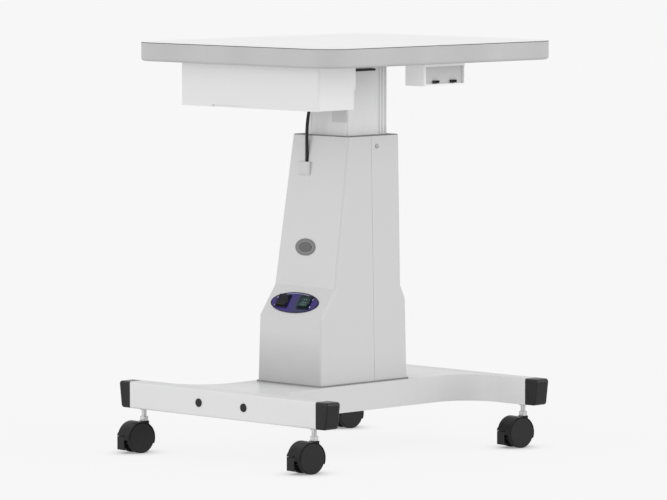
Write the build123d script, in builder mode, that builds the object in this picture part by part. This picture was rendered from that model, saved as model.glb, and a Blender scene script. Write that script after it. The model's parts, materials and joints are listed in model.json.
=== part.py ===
"""Motorised ophthalmic instrument table on twin-wheel casters. Millimetres, +Z up, front is -Y."""

import os
from math import atan2, cos, radians, sin, tan

from build123d import *

os.makedirs("parts", exist_ok=True)

# ---------------------------------------------------------------- driving dimensions
top_width = 465.0            # tabletop along X
top_depth = 545.0            # tabletop along Y
top_corner = 50.0
top_height = 675.5           # working surface above the floor
top_thickness = 31.0
laminate_thickness = 1.3
band_thickness = 6.0         # moulded edge all round the board
band_rounding = 4.5          # of its lower edge

beam_length = 432.0          # steel tube, without its end caps
beam_width = 30.0
beam_height = 44.0
beam_wall = 2.0
beam_spacing = 492.0         # between the beams' centre lines
base_under = 72.0            # underside of the beams
cross_half = 83.0            # half width of the cross member's waist
cross_fillet = 70.0          # concave corner where it meets a beam
cross_wall = 2.5
cap_top = 27.0               # end cap's length along its top
cap_bottom = 21.5

wheel_radius = 25.0
wheel_width = 9.5
wheel_gap = 13.0             # between the two wheels of a caster
caster_x = 198.0             # stem from the centre plane
trail = 16.0                 # stem to wheel axis
caster_yaw = -6.0            # how the casters stand at rest, degrees about Z
hood_radius = 27.0
nose_reach = 28.0            # foremost face of a caster, from the wheel axis
hood_half = 15.5
web_half = 5.8
stem_radius = 4.0
axle_radius = 2.5

housing_wall = 2.0
gasket_thickness = 2.0
housing_top = 521.0
seal_thickness = 1.2

column_size = 96.0           # sliding aluminium column, square
column_wall = 3.0
column_bottom = 200.0
outer_size = 104.0           # fixed steel column, square
outer_wall = 3.0
outer_top = 505.0
foot_thickness = 6.0

cord_radius = 2.7

# ---------------------------------------------------------------- derived places
top_offset = 26.5            # tabletop's centre behind the centre of the base
nose = trail + nose_reach
yaw = radians(-caster_yaw)
front_reach = beam_spacing / 2 + nose * cos(yaw) + hood_half * sin(yaw)
rear_reach = top_offset + top_depth / 2
base_y = (front_reach - rear_reach) / 2        # so that the origin is under the middle of the box
front_y = base_y - beam_spacing / 2
rear_y = base_y + beam_spacing / 2
top_y = base_y + top_offset
column_y = base_y + 29.0
base_top = base_under + beam_height
table_under = top_height - top_thickness
cap_x = beam_length / 2
wheel_inner = wheel_gap / 2
wheel_outer = wheel_inner + wheel_width
wheel_face = Plane.YZ.offset(wheel_inner)

housing_bottom = base_top + gasket_thickness
housing_half_top = 65.0
housing_half_bottom = 73.5
side_slope = (housing_half_bottom - housing_half_top) / (housing_top - housing_bottom)
front_break_low = (-105.0, 227.0)              # lower edge of the control face: y from the base centre, z
front_break_high = (-71.2, 275.0)
front_foot_y = -107.0
front_top_y = -33.2
rear_foot_y = 98.9
rear_break_low = (97.6, 250.0)
rear_break_high = (87.0, 272.0)
seam_y = base_y + 20.0
seam_gap = 0.45


def side_half(z):
    """Half width of the housing at height z."""
    return housing_half_bottom - side_slope * (z - housing_bottom)


def upper_front_y(z):
    """Y of the housing's upper front face at height z."""
    run = (housing_top - z) / (housing_top - front_break_high[1])
    return base_y + front_top_y + (front_break_high[0] - front_top_y) * run


def step_box(low, high):
    """Centre and size of a box between two corners."""
    centre = tuple((a + b) / 2 for a, b in zip(low, high))
    size = tuple(b - a for a, b in zip(low, high))
    return centre, size


# ---------------------------------------------------------------- base frame
def beam_part(y, outward):
    """Rectangular steel tube along X. outward is -1 for the front beam and 1 for the rear one."""
    inward_plane = Plane((0, y - outward * beam_width / 2, base_under + beam_height / 2),
                         x_dir=(1, 0, 0), z_dir=(0, -outward, 0))
    outward_plane = Plane((0, y + outward * beam_width / 2, base_under + beam_height / 2),
                          x_dir=(1, 0, 0), z_dir=(0, outward, 0))
    under_plane = Plane((0, y, base_under), x_dir=(1, 0, 0), z_dir=(0, 0, -1))
    with BuildPart() as beam:
        with Locations((0, y, base_under + beam_height / 2)):
            Box(beam_length, beam_width, beam_height)
        outer_edges = beam.edges().filter_by(Axis.X).group_by(Axis.Y)[0 if outward < 0 else -1]
        fillet(outer_edges, 3.0)
        with Locations((0, y, base_under + beam_height / 2)):
            Box(beam_length + 2, beam_width - 2 * beam_wall, beam_height - 2 * beam_wall,
                mode=Mode.SUBTRACT)
        with Locations(outward_plane):
            with GridLocations(2 * plug_x, 1, 2, 1):
                Hole(plug_radius - 1.0, depth=2 * beam_wall)
        with Locations(inward_plane):
            with GridLocations(2 * plug_x, 1, 2, 1):
                Hole(bolt_radius + 0.3, depth=2 * beam_wall)
        with Locations(under_plane):
            with GridLocations(2 * caster_x, 1, 2, 1):
                Hole(stem_radius + 0.05, depth=2 * beam_wall)
    return beam


plug_x = 52.0
plug_radius = 7.0
bolt_radius = 4.0
foot_bolt_x, foot_bolt_y = 120.0, 116.0        # spacing of the column foot's bolts

front_beam = beam_part(front_y, -1)
front_beam.part.label = "front_beam"
export_step(front_beam.part, "parts/front_beam.step")

rear_beam = beam_part(rear_y, 1)
rear_beam.part.label = "rear_beam"
export_step(rear_beam.part, "parts/rear_beam.step")

cross_reach = (beam_spacing - beam_width) / 2      # from the base centre to a beam's inner face


def cross_outline(inset):
    """One quarter of the waisted outline, as corner, arc and straight, inset evenly."""
    half = cross_half - inset
    reach = cross_reach - inset
    radius = cross_fillet + inset
    shoulder = cross_reach - cross_fillet
    swing = (radius**2 - (reach - shoulder) ** 2) ** 0.5
    centre_x = cross_half + cross_fillet
    start = (half, 0)
    waist = (half, shoulder)
    middle_angle = (radians(180) + atan2(reach - shoulder, -swing)) / 2
    middle = (centre_x + radius * cos(middle_angle), shoulder + radius * sin(middle_angle))
    flare = (centre_x - swing, reach)
    return start, waist, middle, flare, (0, reach)


def cross_sketch(inset):
    start, waist, middle, flare, centre = cross_outline(inset)
    with BuildSketch(Plane.XY) as outline:
        with BuildLine():
            Line((0, 0), start)
            Line(start, waist)
            ThreePointArc(waist, middle, flare)
            Line(flare, centre)
            Line(centre, (0, 0))
        make_face()
        mirror(about=Plane.YZ)
        mirror(about=Plane.XZ)
    return outline.sketch


with BuildPart() as cross_member:
    with BuildSketch(Plane((0, base_y, base_under))):
        add(cross_sketch(0))
    extrude(amount=beam_height)
    with BuildSketch(Plane((0, base_y, base_under))):
        add(cross_sketch(cross_wall))
    extrude(amount=beam_height - cross_wall, mode=Mode.SUBTRACT)
    for side in (-1, 1):
        face = Plane((0, base_y + side * cross_reach, base_under + beam_height / 2),
                     x_dir=(1, 0, 0), z_dir=(0, side, 0))
        with Locations(face):
            with GridLocations(2 * plug_x, 1, 2, 1):
                Hole(bolt_radius + 0.3, depth=2 * cross_wall)
    with Locations(Plane((0, column_y, base_top))):
        with GridLocations(foot_bolt_x, foot_bolt_y, 2, 2):
            Hole(bolt_radius + 0.3, depth=2 * cross_wall)
cross_member.part.label = "cross_member"
export_step(cross_member.part, "parts/cross_member.step")

with BuildPart() as end_caps:
    with BuildSketch(Plane((0, rear_y + beam_width / 2, 0), x_dir=(1, 0, 0), z_dir=(0, -1, 0))):
        with BuildLine():
            Polyline((cap_x, base_under), (cap_x + cap_bottom, base_under),
                     (cap_x + cap_top, base_top), (cap_x, base_top), close=True)
        make_face()
    extrude(amount=beam_width)
    end_face = end_caps.faces().sort_by(Axis.X)[-1]
    fillet(end_face.edges().filter_by(Axis.Y), 5.0)
    end_face = end_caps.faces().filter_by(Axis.Y)
    fillet(end_face.edges().group_by(Axis.X)[-1], 3.0)
    with Locations((cap_x - 7, rear_y, base_under + beam_height / 2)):
        Box(14, beam_width - 2 * beam_wall - 0.2, beam_height - 2 * beam_wall - 0.2)
    mirror(about=Plane.YZ)
    mirror(about=Plane.XZ.offset(-base_y))
end_caps.part.label = "end_caps"
export_step(end_caps.part, "parts/end_caps.step")

with BuildPart() as plug_caps:
    for y, outward in ((front_y, -1), (rear_y, 1)):
        face = Plane((0, y + outward * beam_width / 2, base_under + beam_height / 2),
                     x_dir=(1, 0, 0), z_dir=(0, outward, 0))
        for x in (-plug_x, plug_x):
            with BuildSketch(face.offset(0.02)):
                with Locations((x, 0)):
                    Circle(plug_radius)
            extrude(amount=1.6)
            with BuildSketch(face.offset(0.02)):
                with Locations((x, 0)):
                    Circle(plug_radius - 1.05)
            extrude(amount=-7)
    rims = plug_caps.edges().filter_by(GeomType.CIRCLE).group_by(Axis.Y)
    fillet(rims[0] + rims[-1], 1.0)
plug_caps.part.label = "plug_caps"
export_step(plug_caps.part, "parts/plug_caps.step")

bolt_head = 5.3
bolt_nut = 6.5
bolt_hex = 7.5               # corner radius of the hexagons


def bolt_set(seat, places, shank, grip):
    """Hexagon bolts with nuts, heads on the seat plane; grip is the thickness they clamp."""
    with BuildPart() as bolts:
        with BuildSketch(seat):
            with Locations(*places):
                RegularPolygon(bolt_hex, 6)
        extrude(amount=bolt_head)
        with BuildSketch(seat):
            with Locations(*places):
                Circle(bolt_radius)
        extrude(amount=-shank)
        with BuildSketch(seat.offset(-grip)):
            with Locations(*places):
                RegularPolygon(bolt_hex, 6)
        extrude(amount=-bolt_nut)
    return bolts.part


beam_bolts = []
for y, outward in ((front_y, -1), (rear_y, 1)):
    seat = Plane((0, y - outward * (beam_width / 2 - beam_wall), base_under + beam_height / 2),
                 x_dir=(1, 0, 0), z_dir=(0, outward, 0))
    beam_bolts.append(bolt_set(seat, [(-plug_x, 0), (plug_x, 0)], 18, beam_wall + cross_wall))
foot_bolts = bolt_set(Plane((0, column_y, base_top + foot_thickness)),
                      [(x, y) for x in (-foot_bolt_x / 2, foot_bolt_x / 2)
                       for y in (-foot_bolt_y / 2, foot_bolt_y / 2)],
                      20, foot_thickness + cross_wall)
with BuildPart() as frame_bolts:
    add(beam_bolts)
    add(foot_bolts)
frame_bolts.part.label = "frame_bolts"
export_step(frame_bolts.part, "parts/frame_bolts.step")

stem_bottom = 21.0
stem_top = 92.0
nut_bottom = 52.1
nut_top = 58.9
washer_thickness = 2.4
stem_places = [(x, y) for y in (front_y, rear_y) for x in (-caster_x, caster_x)]

with BuildPart() as caster_stems:
    with BuildSketch(Plane.XY.offset(stem_bottom)):
        with Locations(*stem_places):
            Circle(stem_radius)
    extrude(amount=stem_top - stem_bottom)
    chamfer(caster_stems.edges().filter_by(GeomType.CIRCLE).group_by(Axis.Z)[0], 0.8)
caster_stems.part.label = "caster_stems"
export_step(caster_stems.part, "parts/caster_stems.step")

with BuildPart() as stem_nuts:
    with BuildSketch(Plane.XY.offset(nut_bottom)):
        with Locations(*stem_places):
            RegularPolygon(7.5, 6, rotation=15)
            Circle(stem_radius + 0.02, mode=Mode.SUBTRACT)
    extrude(amount=nut_top - nut_bottom)
    with BuildSketch(Plane.XY.offset(base_under - 0.02)):
        with Locations(*stem_places):
            Circle(6.6)
            Circle(stem_radius + 0.02, mode=Mode.SUBTRACT)
    extrude(amount=-washer_thickness)
stem_nuts.part.label = "stem_nuts"
export_step(stem_nuts.part, "parts/stem_nuts.step")

# ---------------------------------------------------------------- casters
socket_top = 51.8
socket_radius = 5.8
hood_inner = wheel_radius + 0.7
hood_end = 15.0              # height where the hood's rear edge ends
web_radius = 21.5
nose_bottom = 22.6           # the hood's front edge, beside the lever
nose_inner = 26.1            # the nose's rear face, from the wheel axis
nose_top = 31.0
lever_bottom = 5.6
lever_top = 27.8
lever_inner = 26.0           # lever's wheel-side face, from the wheel axis
lever_side = 2.8             # the lever covers the front from the left side to here
lever_room = 0.8             # clearance over the lever's top
pivot_reach = 27.0
pivot_z = 25.2
pivot_radius = 0.6
axis_y = -trail


def caster_hood():
    """Arched hood on a central web, its stem socket, and the axle pin pressed through the web."""
    with BuildPart() as hood:
        with BuildSketch(Plane.YZ):
            with Locations((axis_y, wheel_radius)):
                Circle(web_radius)
            with Locations((0, (socket_top + 12) / 2)):
                Rectangle(2 * socket_radius, socket_top - 12)
            with Locations((axis_y - 12, 35)):
                Rectangle(34, 26)
            with Locations((axis_y, wheel_radius - 30)):
                Rectangle(80, 2 * (hood_end - wheel_radius + 30), mode=Mode.SUBTRACT)
        extrude(amount=web_half, both=True)
        with BuildSketch(Plane.YZ):
            with Locations((axis_y, wheel_radius)):
                Circle(hood_radius + 12)
                Circle(hood_radius, mode=Mode.SUBTRACT)
            with Locations((6, 60)):
                Rectangle(2 * (6 + socket_radius), 60, mode=Mode.SUBTRACT)
        extrude(amount=web_half + 1, both=True, mode=Mode.SUBTRACT)
        with BuildSketch(Plane.YZ):
            with Locations((axis_y, wheel_radius)):
                Circle(hood_radius)
                Circle(hood_inner, mode=Mode.SUBTRACT)
            with Locations((axis_y, wheel_radius - 30)):
                Rectangle(80, 2 * (hood_end - wheel_radius + 30), mode=Mode.SUBTRACT)
        extrude(amount=hood_half, both=True)
        with BuildSketch(Plane.YZ):
            with BuildLine():
                Polyline((axis_y - nose_inner, nose_bottom), (axis_y - nose_reach, nose_bottom),
                         (axis_y - nose_reach, nose_top), (axis_y - nose_inner, nose_top + 3.2),
                         (axis_y - nose_inner + 1.1, nose_top + 1.6), close=True)
            make_face()
        extrude(amount=hood_half, both=True)
        with BuildSketch(Plane.XY.offset(nose_top)):
            Circle(socket_radius)
        extrude(amount=socket_top - nose_top)
        centre, size = step_box((-hood_half - 1, axis_y - nose_reach - 1, 0),
                                (lever_side + 0.25, axis_y - 22, lever_top + lever_room))
        with Locations(centre):
            Box(*size, mode=Mode.SUBTRACT)
        centre, size = step_box((lever_side, axis_y - nose_reach - 1, 0),
                                (hood_half + 1, axis_y - 22, nose_bottom))
        with Locations(centre):
            Box(*size, mode=Mode.SUBTRACT)
        with Locations(Plane((lever_side, axis_y - nose_reach, nose_top - 0.5), z_dir=(0, -1, 0))):
            Hole(1.2, depth=3)
        with Locations(Plane((0, axis_y, wheel_radius), z_dir=(1, 0, 0))):
            Cylinder(axle_radius + 0.02, 40, mode=Mode.SUBTRACT)
            Cylinder(axle_radius, 2 * (wheel_inner + 7.4))
        with Locations(Plane((lever_side + 3, axis_y - pivot_reach, pivot_z), z_dir=(1, 0, 0))):
            Cylinder(pivot_radius + 0.05, 8, mode=Mode.SUBTRACT)
        with Locations((0, 0, (stem_bottom + socket_top) / 2)):
            Cylinder(stem_radius + 0.05, socket_top - stem_bottom + 1.4, mode=Mode.SUBTRACT)
    return hood.part


def caster_wheel():
    """The wheel on the +X side: a disc with a blind bore and a hollowed inner face."""
    with BuildPart() as wheel:
        with BuildSketch(wheel_face):
            with Locations((axis_y, wheel_radius)):
                Circle(wheel_radius)
        extrude(amount=wheel_width)
        fillet(wheel.edges().filter_by(GeomType.CIRCLE), 1.4)
        with BuildSketch(wheel_face):
            with Locations((axis_y, wheel_radius)):
                Circle(wheel_radius - 4)
                Circle(7, mode=Mode.SUBTRACT)
        extrude(amount=5, mode=Mode.SUBTRACT)
        with BuildSketch(wheel_face):
            with Locations((axis_y, wheel_radius)):
                Circle(axle_radius + 0.05)
        extrude(amount=7.7, mode=Mode.SUBTRACT)
    return wheel.part


def brake_lever():
    """Toe brake: a flat pedal on the front of the hood with its own pivot pin."""
    with BuildPart() as lever:
        centre, size = step_box((-hood_half + 0.2, axis_y - nose_reach, lever_bottom),
                                (lever_side, axis_y - lever_inner, lever_top))
        with Locations(centre):
            Box(*size)
        fillet(lever.edges().filter_by(Axis.X).group_by(Axis.Z)[0], 0.9)
        with Locations(Plane((lever_side, axis_y - pivot_reach, pivot_z), z_dir=(1, 0, 0))):
            Cylinder(pivot_radius, 11)
    return lever.part


hood_shape = caster_hood()
right_wheel = caster_wheel()
left_wheel = mirror(right_wheel, about=Plane.YZ)
lever_shape = brake_lever()
corners = {"fl": (-caster_x, front_y), "fr": (caster_x, front_y),
           "rl": (-caster_x, rear_y), "rr": (caster_x, rear_y)}
caster_pieces = {"hood": hood_shape, "left_wheel": left_wheel, "right_wheel": right_wheel,
                 "brake": lever_shape}
for corner, (x, y) in corners.items():
    place = Location((x, y, 0), (0, 0, caster_yaw))
    for piece, shape in caster_pieces.items():
        placed = place * shape
        placed.label = f"caster_{corner}_{piece}"
        export_step(placed, f"parts/caster_{corner}_{piece}.step")

# ---------------------------------------------------------------- housing
def housing_solid(inset, grow=0.0):
    """The housing's outer form, or its inside when inset, with grow added above and below."""
    low, high = housing_bottom - grow, housing_top + grow
    with BuildPart() as form:
        with BuildSketch(Plane((0, 0, 0), x_dir=(0, 1, 0), z_dir=(1, 0, 0))):
            with BuildLine():
                Polyline((base_y + front_foot_y + inset, low),
                         (base_y + front_break_low[0] + inset, front_break_low[1] + 0.3 * inset),
                         (base_y + front_break_high[0] + inset, front_break_high[1] + 0.5 * inset),
                         (upper_front_y(high) + inset, high),
                         (base_y + rear_break_high[0] - inset, high),
                         (base_y + rear_break_high[0] - inset, rear_break_high[1]),
                         (base_y + rear_break_low[0] - inset, rear_break_low[1]),
                         (base_y + rear_foot_y - inset, low), close=True)
            make_face()
        extrude(amount=100, both=True)
        with BuildSketch(Plane((0, 0, 0), x_dir=(1, 0, 0), z_dir=(0, -1, 0))):
            with BuildLine():
                Polyline((-side_half(low) + inset, low), (side_half(low) - inset, low),
                         (side_half(high) - inset, high), (-side_half(high) + inset, high), close=True)
            make_face()
        extrude(amount=150, both=True, mode=Mode.INTERSECT)
        upright = form.edges().filter_by(lambda e: abs(e.tangent_at(0.5).X) < 0.1
                                         and abs(e.tangent_at(0.5).Z) > 0.5)
        fillet(upright, 6.0 - inset)
    return form.part


housing_outer = housing_solid(0)
housing_inner = housing_solid(housing_wall, grow=5)

panel_offset = -4.0
panel_normal = (0, -(front_break_high[1] - front_break_low[1]),
                front_break_high[0] - front_break_low[0])
face_plane = Plane((panel_offset, base_y + (front_break_low[0] + front_break_high[0]) / 2,
                    (front_break_low[1] + front_break_high[1]) / 2),
                   x_dir=(1, 0, 0), z_dir=panel_normal)
panel_plane = Plane(face_plane.from_local_coords((0, -1.4, 0)), x_dir=(1, 0, 0), z_dir=panel_normal)
plate_thickness = 1.2
plate_shift = (1.4, -1.1)                      # plate's centre from the switches' centre
switch_pitch = 50.0
switch_width, switch_height = 24.6, 22.1       # bezel body that goes through the panel

badge_z = 339.0
badge_plane = Plane((panel_offset - 2, upper_front_y(badge_z), badge_z), x_dir=(1, 0, 0),
                    z_dir=(0, -(housing_top - front_break_high[1]), front_top_y - front_break_high[0]))

cord_x = -24.3
cord_y = base_y - 40.0
cord_bore = cord_radius + 0.8
bore_low, bore_high = 430.0, 505.0             # where the cord passes through the housing's front
cowl_x = cord_x - 2.0
cowl_foot, cowl_bottom, cowl_top = 454.5, 458.5, 478.0
cowl_front = base_y - 45.6
cowl_half = 13.0

inlet_z = 152.0
inlet_y = base_y - 72.0
inlet_plane = Plane((-side_half(inlet_z), inlet_y, inlet_z), x_dir=(0, -1, 0), z_dir=(-1, 0, side_slope))
screw_z = 504.0
screw_y = base_y + 33.2
rear_screw_z = 150.0

with BuildPart() as housing_front:
    add(housing_outer)
    add(housing_inner, mode=Mode.SUBTRACT)
    split(bisect_by=Plane((0, seam_y - seam_gap / 2, 0), x_dir=(1, 0, 0), z_dir=(0, -1, 0)), keep=Keep.TOP)
    with BuildSketch(panel_plane.offset(-15)):
        with GridLocations(switch_pitch, 1, 2, 1):
            Rectangle(switch_width + 0.4, switch_height + 0.4)
    extrude(amount=20, mode=Mode.SUBTRACT)
    with BuildSketch(Plane.XY.offset(bore_low)):
        with Locations((cord_x, cord_y)):
            Circle(cord_bore)
    extrude(amount=bore_high - bore_low, mode=Mode.SUBTRACT)
    with BuildSketch(inlet_plane.offset(-6)):
        Rectangle(28.4, 21.4)
    extrude(amount=12, mode=Mode.SUBTRACT)
housing_front.part.label = "housing_front"
export_step(housing_front.part, "parts/housing_front.step")

with BuildPart() as housing_rear:
    add(housing_outer)
    add(housing_inner, mode=Mode.SUBTRACT)
    split(bisect_by=Plane((0, seam_y + seam_gap / 2, 0), x_dir=(1, 0, 0), z_dir=(0, 1, 0)), keep=Keep.TOP)
    with Locations(Plane((0, screw_y, screw_z), z_dir=(1, 0, 0))):
        Cylinder(2.1, 160, mode=Mode.SUBTRACT)
    with Locations(Plane((0, base_y + 98, rear_screw_z), x_dir=(1, 0, 0), z_dir=(0, 1, 0))):
        with GridLocations(110, 1, 2, 1):
            Cylinder(2.1, 12, mode=Mode.SUBTRACT)
housing_rear.part.label = "housing_rear"
export_step(housing_rear.part, "parts/housing_rear.step")

with BuildPart() as housing_screws:
    for side in (-1, 1):
        head = Plane((side * (side_half(screw_z) + 0.05), screw_y, screw_z),
                     z_dir=(side, 0, side_slope))
        with BuildSketch(head):
            Circle(3.8)
        extrude(amount=1.8)
        with BuildSketch(head):
            Circle(2.0)
        extrude(amount=-8)
        head = Plane((side * 55, base_y + rear_foot_y - 0.2, rear_screw_z), x_dir=(1, 0, 0), z_dir=(0, 1, 0))
        with BuildSketch(head):
            Circle(3.8)
        extrude(amount=1.8)
        with BuildSketch(head):
            Circle(2.0)
        extrude(amount=-8)
housing_screws.part.label = "housing_screws"
export_step(housing_screws.part, "parts/housing_screws.step")

with BuildPart() as foot_gasket:
    foot_centre = base_y + (front_foot_y + rear_foot_y) / 2
    foot_depth = rear_foot_y - front_foot_y
    with BuildSketch(Plane((0, foot_centre, base_top))):
        RectangleRounded(2 * housing_half_bottom + 5, foot_depth + 5, 7)
        RectangleRounded(2 * housing_half_bottom - 3, foot_depth - 3, 5, mode=Mode.SUBTRACT)
    extrude(amount=gasket_thickness)
foot_gasket.part.label = "foot_gasket"
export_step(foot_gasket.part, "parts/foot_gasket.step")

with BuildPart() as top_seal:
    seal_centre = base_y + (front_top_y + rear_break_high[0]) / 2
    with BuildSketch(Plane((0, seal_centre, housing_top))):
        RectangleRounded(2 * housing_half_top - 2, rear_break_high[0] - front_top_y - 2, 4.5)
        with Locations((0, column_y - seal_centre)):
            Rectangle(column_size + 3, column_size + 7, mode=Mode.SUBTRACT)
    extrude(amount=seal_thickness)
top_seal.part.label = "top_seal"
export_step(top_seal.part, "parts/top_seal.step")

with BuildPart() as cord_cowl:
    with BuildSketch(Plane((cowl_x, 0, 0), x_dir=(0, 1, 0), z_dir=(1, 0, 0))):
        with BuildLine():
            Polyline((cowl_front, cowl_bottom), (upper_front_y(cowl_foot) - 0.02, cowl_foot),
                     (upper_front_y(cowl_top) - 0.02, cowl_top), (cowl_front, cowl_top), close=True)
        make_face()
    extrude(amount=cowl_half, both=True)
    fillet(cord_cowl.edges().filter_by(Axis.Z), 2.0)
    with BuildSketch(Plane.XY.offset(bore_low)):
        with Locations((cord_x, cord_y)):
            Circle(cord_bore)
    extrude(amount=bore_high - bore_low, mode=Mode.SUBTRACT)
cord_cowl.part.label = "cord_cowl"
export_step(cord_cowl.part, "parts/cord_cowl.step")

# ---------------------------------------------------------------- control panel and badge
with BuildPart() as panel_plate:
    with BuildSketch(panel_plane.offset(0.02)):
        with Locations(plate_shift):
            Ellipse(54.5, 19.5)
        with GridLocations(switch_pitch, 1, 2, 1):
            Rectangle(switch_width + 0.4, switch_height + 0.4, mode=Mode.SUBTRACT)
    extrude(amount=plate_thickness)
panel_plate.part.label = "panel_plate"
export_step(panel_plate.part, "parts/panel_plate.step")

rocker_half_width = 10.4
rocker_half_height = 9.2
rocker_pin = 1.2
power_tilt = 6.0
with BuildPart() as switch_bezels:
    with BuildSketch(panel_plane.offset(plate_thickness + 0.04)):
        with GridLocations(switch_pitch, 1, 2, 1):
            RectangleRounded(switch_width + 2.4, switch_height + 2.4, 1.5)
    extrude(amount=1.6)
    with BuildSketch(panel_plane.offset(-8)):
        with GridLocations(switch_pitch, 1, 2, 1):
            Rectangle(switch_width, switch_height)
    extrude(amount=8 + plate_thickness + 0.04)
    with BuildSketch(panel_plane.offset(-9)):
        with GridLocations(switch_pitch, 1, 2, 1):
            Rectangle(2 * rocker_half_width + 0.8, 2 * rocker_half_height + 1.5)
    extrude(amount=20, mode=Mode.SUBTRACT)
    with Locations(Plane(panel_plane.origin, x_dir=panel_plane.y_dir, z_dir=(1, 0, 0))):
        Cylinder(rocker_pin + 0.05, switch_pitch + switch_width - 0.6, mode=Mode.SUBTRACT)
switch_bezels.part.label = "switch_bezels"
export_step(switch_bezels.part, "parts/switch_bezels.step")


def rocker_part(x, tilt):
    """Rocker cap with its two pivot pins, tilted about X. x is along the panel."""
    centre = panel_plane.from_local_coords((x, 0, 0))
    tilted = Plane(centre, x_dir=(1, 0, 0), z_dir=panel_plane.z_dir).rotated((tilt, 0, 0))
    profile = Plane(centre, x_dir=tilted.y_dir, z_dir=(1, 0, 0))
    with BuildPart() as rocker:
        with BuildSketch(profile):
            with BuildLine():
                Polyline((-rocker_half_height, -3.8), (rocker_half_height, -3.8),
                         (rocker_half_height, 4.6), (0, 2.9), (-rocker_half_height, 4.6), close=True)
            make_face()
        extrude(amount=rocker_half_width, both=True)
        chamfer(rocker.edges().filter_by(Axis.X).group_by(SortBy.LENGTH)[0], 0.5)
        with BuildSketch(profile):
            Circle(rocker_pin)
        extrude(amount=rocker_half_width + 1.4, both=True)
    return rocker


lift_rocker = rocker_part(-switch_pitch / 2, 0)
lift_rocker.part.label = "lift_rocker"
export_step(lift_rocker.part, "parts/lift_rocker.step")

power_rocker = rocker_part(switch_pitch / 2, -power_tilt)
power_rocker.part.label = "power_rocker"
export_step(power_rocker.part, "parts/power_rocker.step")

with BuildPart() as badge:
    with BuildSketch(badge_plane.offset(0.02)):
        Ellipse(22.7, 14.0)
    extrude(amount=1.2)
    with BuildSketch(badge_plane.offset(0.02)):
        Ellipse(15.0, 8.6)
    extrude(amount=2.0)
badge.part.label = "badge"
export_step(badge.part, "parts/badge.step")

# ---------------------------------------------------------------- column and drive
foot_half_x, foot_half_y = 68.0, 66.0
with BuildPart() as column_foot:
    with BuildSketch(Plane((0, column_y, base_top))):
        RectangleRounded(2 * foot_half_x, 2 * foot_half_y, 6)
        with GridLocations(foot_bolt_x, foot_bolt_y, 2, 2):
            Circle(bolt_radius + 0.3, mode=Mode.SUBTRACT)
    extrude(amount=foot_thickness)
column_foot.part.label = "column_foot"
export_step(column_foot.part, "parts/column_foot.step")

outer_bottom = base_top + foot_thickness
outer_inside = outer_size - 2 * outer_wall
with BuildPart() as outer_column:
    with BuildSketch(Plane((0, column_y, outer_bottom))):
        RectangleRounded(outer_size, outer_size, 4)
        RectangleRounded(outer_inside, outer_inside, 1.5, mode=Mode.SUBTRACT)
    extrude(amount=outer_top - outer_bottom)
outer_column.part.label = "outer_column"
export_step(outer_column.part, "parts/outer_column.step")

pad_thickness = 0.6
with BuildPart() as glide_pads:
    for z in (390, 490):
        with Locations((0, column_y, z)):
            with GridLocations(outer_inside - pad_thickness, 1, 2, 1):
                Box(pad_thickness, 36, 20)
            with GridLocations(1, outer_inside - pad_thickness, 1, 2):
                Box(36, pad_thickness, 20)
glide_pads.part.label = "glide_pads"
export_step(glide_pads.part, "parts/glide_pads.step")

head_thickness = 5.0
head_under = table_under - head_thickness
side_grooves = (27.0, 34.0, 41.0)              # behind the column's middle, in both sides
side_groove = (2.4, 1.3)                       # their width and depth
face_groove = (2.0, 0.8)                       # and those of the groove in the front and the rear
column_hollow = column_size - 2 * column_wall
with BuildPart() as inner_column:
    with BuildSketch(Plane((0, column_y, column_bottom))):
        RectangleRounded(column_size, column_size, 5)
        RectangleRounded(column_hollow, column_hollow, 2.5, mode=Mode.SUBTRACT)
        for side in (-1, 1):
            with Locations(*((side * column_size / 2, y) for y in side_grooves)):
                Rectangle(2 * side_groove[1], side_groove[0], mode=Mode.SUBTRACT)
            with Locations((-33, side * column_size / 2)):
                Rectangle(face_groove[0], 2 * face_groove[1], mode=Mode.SUBTRACT)
    extrude(amount=head_under - column_bottom)
inner_column.part.label = "inner_column"
export_step(inner_column.part, "parts/inner_column.step")

gearbox_bottom = outer_bottom + 56.0
gearbox_top = gearbox_bottom + 25.0
screw_radius = 8.0
journal_radius = 6.0
with BuildPart() as drive_motor:
    with BuildSketch(Plane((0, column_y, outer_bottom))):
        Circle(29)
    extrude(amount=gearbox_bottom - outer_bottom)
    fillet(drive_motor.edges().filter_by(GeomType.CIRCLE).group_by(Axis.Z)[0], 2.0)
drive_motor.part.label = "drive_motor"
export_step(drive_motor.part, "parts/drive_motor.step")

with BuildPart() as gearbox:
    with BuildSketch(Plane((0, column_y, gearbox_bottom))):
        RectangleRounded(62, 62, 8)
    extrude(amount=gearbox_top - gearbox_bottom)
    with BuildSketch(Plane((0, column_y, gearbox_top))):
        Circle(journal_radius + 0.05)
    extrude(amount=-12, mode=Mode.SUBTRACT)
gearbox.part.label = "gearbox"
export_step(gearbox.part, "parts/gearbox.step")

screw_top = 470.0
with BuildPart() as lead_screw:
    with BuildSketch(Plane((0, column_y, gearbox_top - 11.5))):
        Circle(journal_radius)
    extrude(amount=12)
    with BuildSketch(Plane((0, column_y, gearbox_top + 0.3))):
        Circle(screw_radius)
    extrude(amount=screw_top - gearbox_top)
    chamfer(lead_screw.edges().filter_by(GeomType.CIRCLE).group_by(Axis.Z)[-1], 1.5)
lead_screw.part.label = "lead_screw"
export_step(lead_screw.part, "parts/lead_screw.step")

carrier_bottom = 272.0
carrier_thickness = 8.0
with BuildPart() as nut_carrier:
    with BuildSketch(Plane((0, column_y, carrier_bottom))):
        RectangleRounded(column_hollow - 0.2, column_hollow - 0.2, 2.6)
        Circle(13.1, mode=Mode.SUBTRACT)
    extrude(amount=carrier_thickness)
nut_carrier.part.label = "nut_carrier"
export_step(nut_carrier.part, "parts/nut_carrier.step")

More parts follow.
